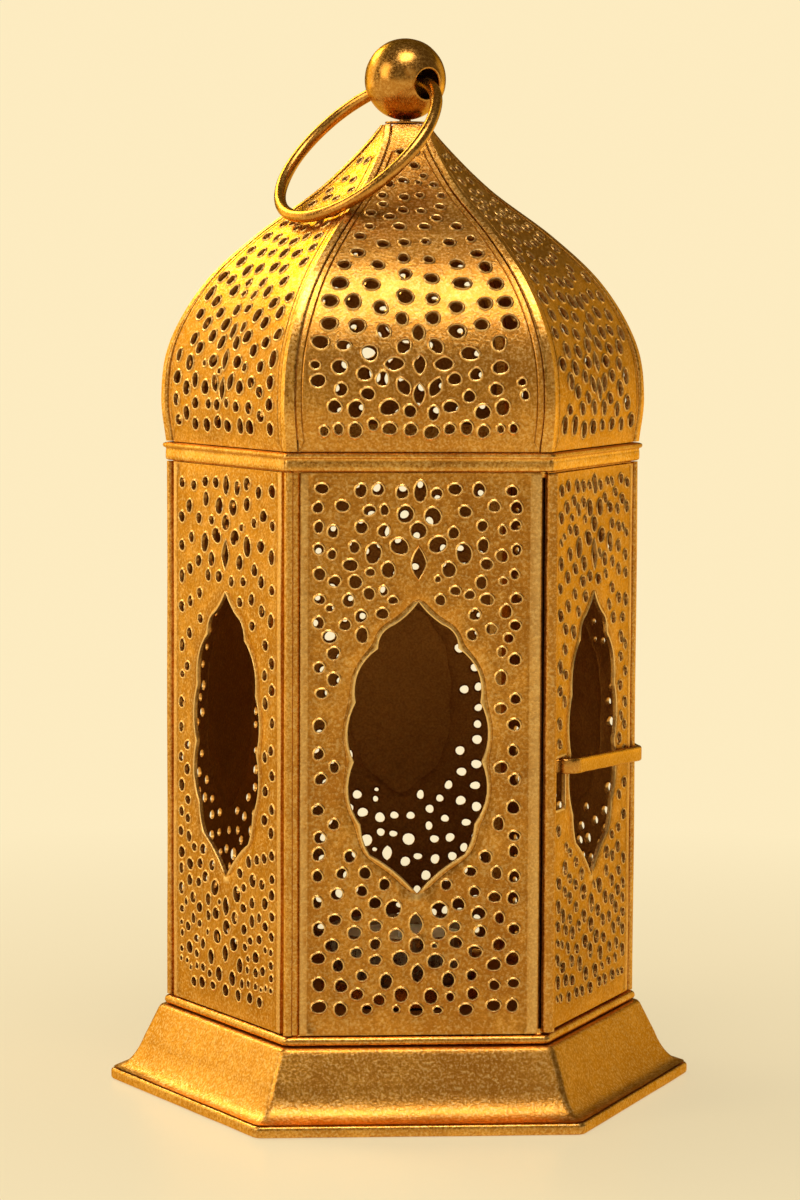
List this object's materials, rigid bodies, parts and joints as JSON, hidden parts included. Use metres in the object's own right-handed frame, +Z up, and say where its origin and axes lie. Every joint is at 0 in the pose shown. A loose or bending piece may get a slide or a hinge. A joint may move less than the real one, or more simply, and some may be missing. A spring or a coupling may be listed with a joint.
{
  "type": "candle_lantern",
  "caption": "Gilded sheet-metal candle lantern: flared hexagonal base, pierced walls with scalloped windows, hinged door with latch bar, ogee dome, ball finial and carrying ring.",
  "frame": {"origin": "centre of the base's underside, on the vertical axis through the finial", "axes": "+Z up; the front wall faces -Y; the door is the wall between the front and the +X corner"},
  "size_m": [0.1542, 0.143, 0.2729],
  "materials": {
    "gold_sheet": "satin gold with fine sandblasted grain and brown patina in the recesses",
    "gold_trim": "satin gold, worn brighter along the edges",
    "aged_brass": "rubbed and pitted, glossier than the sheet",
    "dark_steel": "dull, tarnished brown",
    "tealight_tin": "thin rolled foil cup",
    "candle_wax": "ivory, soft satin",
    "cotton_wick": "waxed cotton"
  },
  "bodies": {
    "root": {"base_rim": "gold_trim", "base_skirt": "gold_sheet", "base_floor": "gold_sheet", "sill_bead": "gold_trim", "candle_cup": "aged_brass", "cup_rivet": "aged_brass", "panel_front": "gold_sheet", "panel_back_right": "gold_sheet", "panel_back": "gold_sheet", "panel_back_left": "gold_sheet", "panel_front_left": "gold_sheet", "post_front_left": "gold_trim", "post_right": "gold_trim", "post_back_right": "gold_trim", "post_back_left": "gold_trim", "post_left": "gold_trim", "hinge_jamb": "dark_steel", "door_stop": "dark_steel", "hinge_rod": "dark_steel", "cornice": "gold_trim", "dome_gore_front": "gold_sheet", "dome_gore_front_right": "gold_sheet", "dome_gore_back_right": "gold_sheet", "dome_gore_back": "gold_sheet", "dome_gore_back_left": "gold_sheet", "dome_gore_front_left": "gold_sheet", "dome_rib_front_left": "gold_trim", "dome_rib_front_right": "gold_trim", "dome_rib_right": "gold_trim", "dome_rib_back_right": "gold_trim", "dome_rib_back_left": "gold_trim", "dome_rib_left": "gold_trim", "neck_collar": "aged_brass", "finial_stud": "dark_steel", "finial_nut": "dark_steel", "finial_ball": "aged_brass"},
    "door": {"door_panel": "gold_sheet"},
    "latch": {"latch_bar": "aged_brass"},
    "tealight": {"tealight_case": "tealight_tin", "tealight_wax": "candle_wax", "tealight_wick": "cotton_wick"},
    "ring": {"ring_handle": "aged_brass"}
  },
  "joints": [
    {"name": "door_hinge", "type": "hinge", "parent": "root", "child": "door", "pos_m": [0.0331, -0.0553, 0.093], "axis": [0, 0, -1], "range_deg": [0, 115]},
    {"name": "latch_pivot", "type": "hinge", "parent": "door", "child": "latch", "pos_m": [0.03836, -0.04438, 0.0889], "axis": [0, 0, -1], "range_deg": [0, 75]},
    {"name": "ring_swing", "type": "hinge", "parent": "root", "child": "ring", "pos_m": [0, 0, 0.2608], "axis": [-0.5446, 0.8387, 0], "range_deg": [0, 266]},
    {"name": "tealight_lift", "type": "slide", "parent": "root", "child": "tealight", "axis": [0, 0, 1], "range_m": [0, 0.03]}
  ]
}
